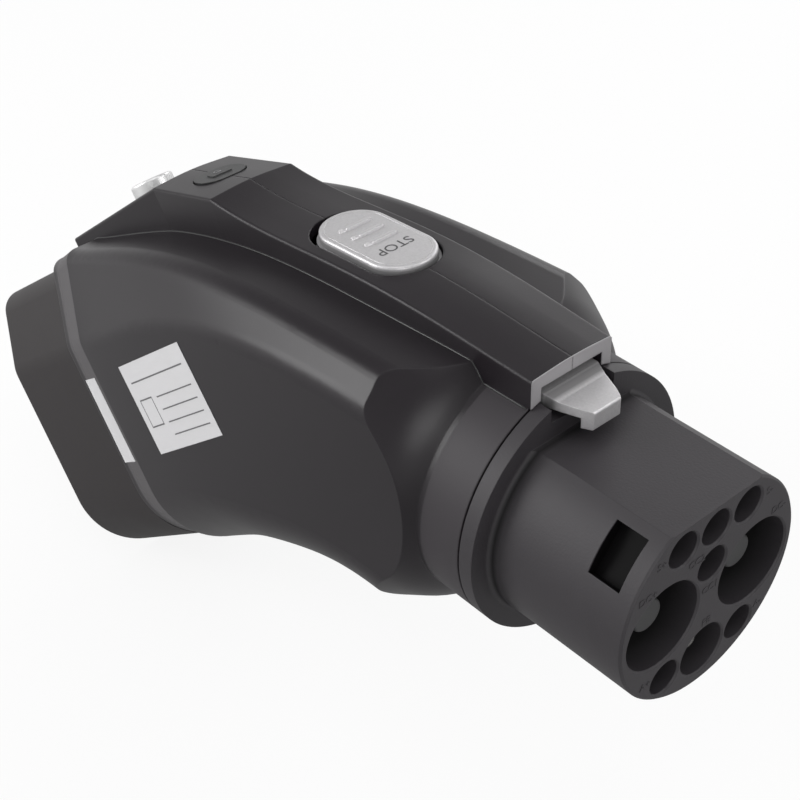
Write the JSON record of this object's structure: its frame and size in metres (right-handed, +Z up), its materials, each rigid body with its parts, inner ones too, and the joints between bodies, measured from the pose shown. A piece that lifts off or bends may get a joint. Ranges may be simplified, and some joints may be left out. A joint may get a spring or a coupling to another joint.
{
  "type": "electric vehicle charging adapter",
  "caption": "Hand-held charging adapter: a round plug nose with a latch hook in front, a bent clamshell body with push buttons on its ridge, and a hooded socket at the rear.",
  "frame": {"origin": "centre of the plug nose's face", "axes": "+X out of the nose along the plug's axis, +Y to the left seen from behind, +Z up towards the latch hook"},
  "size_m": [0.2981, 0.0844, 0.1773],
  "materials": {
    "body_plastic": "satin",
    "nose_plastic": "satin",
    "hood_plastic": "satin",
    "cap_plastic": "matt",
    "socket_plastic": "satin",
    "seal_rubber": "matt",
    "silver_paint": "satin",
    "key_plastic": "satin",
    "contact_silver": "silver plated",
    "steel": "plain",
    "copper": "plain",
    "board_green": "satin",
    "cell_wrap": "gloss",
    "switch_plastic": "satin"
  },
  "bodies": {
    "body": {"battery_cell": "cell_wrap", "battery_holder": "switch_plastic", "busbar_negative": "copper", "busbar_positive": "copper", "control_board": "board_green", "dc_negative_cap": "cap_plastic", "dc_negative_pin": "contact_silver", "dc_positive_cap": "cap_plastic", "dc_positive_pin": "contact_silver", "earth_strap": "copper", "housing_left": "body_plastic", "housing_right": "body_plastic", "housing_screws": "steel", "inlet_cp_pin": "contact_silver", "inlet_dc_negative_pin": "contact_silver", "inlet_dc_positive_pin": "contact_silver", "inlet_gasket": "seal_rubber", "inlet_hood": "hood_plastic", "inlet_insulator": "socket_plastic", "inlet_pe_pin": "contact_silver", "inlet_pp_pin": "contact_silver", "inlet_screws": "steel", "latch_pivot_pin": "steel", "lock_pivot_pin": "steel", "nose_insulator": "nose_plastic", "pe_pin": "contact_silver", "power_switch": "switch_plastic", "power_switch_board": "board_green", "signal_pin_a_minus": "contact_silver", "signal_pin_a_plus": "contact_silver", "signal_pin_cc1": "contact_silver", "signal_pin_cc2": "contact_silver", "signal_pin_s_minus": "contact_silver", "signal_pin_s_plus": "contact_silver", "stop_switch": "switch_plastic"},
    "stop": {"stop_button": "silver_paint"},
    "latch": {"latch_lever": "silver_paint", "latch_spring": "steel"},
    "power_key": {"power_button": "key_plastic"},
    "knob": {"unlock_button": "silver_paint"},
    "rocker": {"lock_lever": "steel"}
  },
  "joints": [
    {"name": "stop_press", "type": "slide", "parent": "body", "child": "stop", "axis": [0.0785, 0, -0.9969], "range_m": [0, 0.0028], "stiffness_N_per_m": 1500, "springref_m": -0.0015},
    {"name": "latch_swing", "type": "hinge", "parent": "body", "child": "latch", "pos_m": [-0.078, 0, 0.036], "axis": [0, -1, 0], "range_deg": [0, 4]},
    {"name": "power_press", "type": "slide", "parent": "body", "child": "power_key", "axis": [0.3022, 0, -0.9533], "range_m": [0, 0.001], "stiffness_N_per_m": 900, "springref_m": -0.001},
    {"name": "unlock_press", "type": "slide", "parent": "body", "child": "knob", "axis": [0.5948, 0, -0.8039], "range_m": [0, 0.0018], "stiffness_N_per_m": 1500, "springref_m": -0.0015},
    {"name": "lock_swing", "type": "hinge", "parent": "body", "child": "rocker", "pos_m": [-0.23733, 0, -0.00117], "axis": [0, 1, 0], "range_deg": [0, 13.5]}
  ],
  "couplings": [
    {"joint": "latch_swing", "follows": "stop_press", "rad_per_m": 24.931},
    {"joint": "lock_swing", "follows": "unlock_press", "rad_per_m": 130.89}
  ]
}
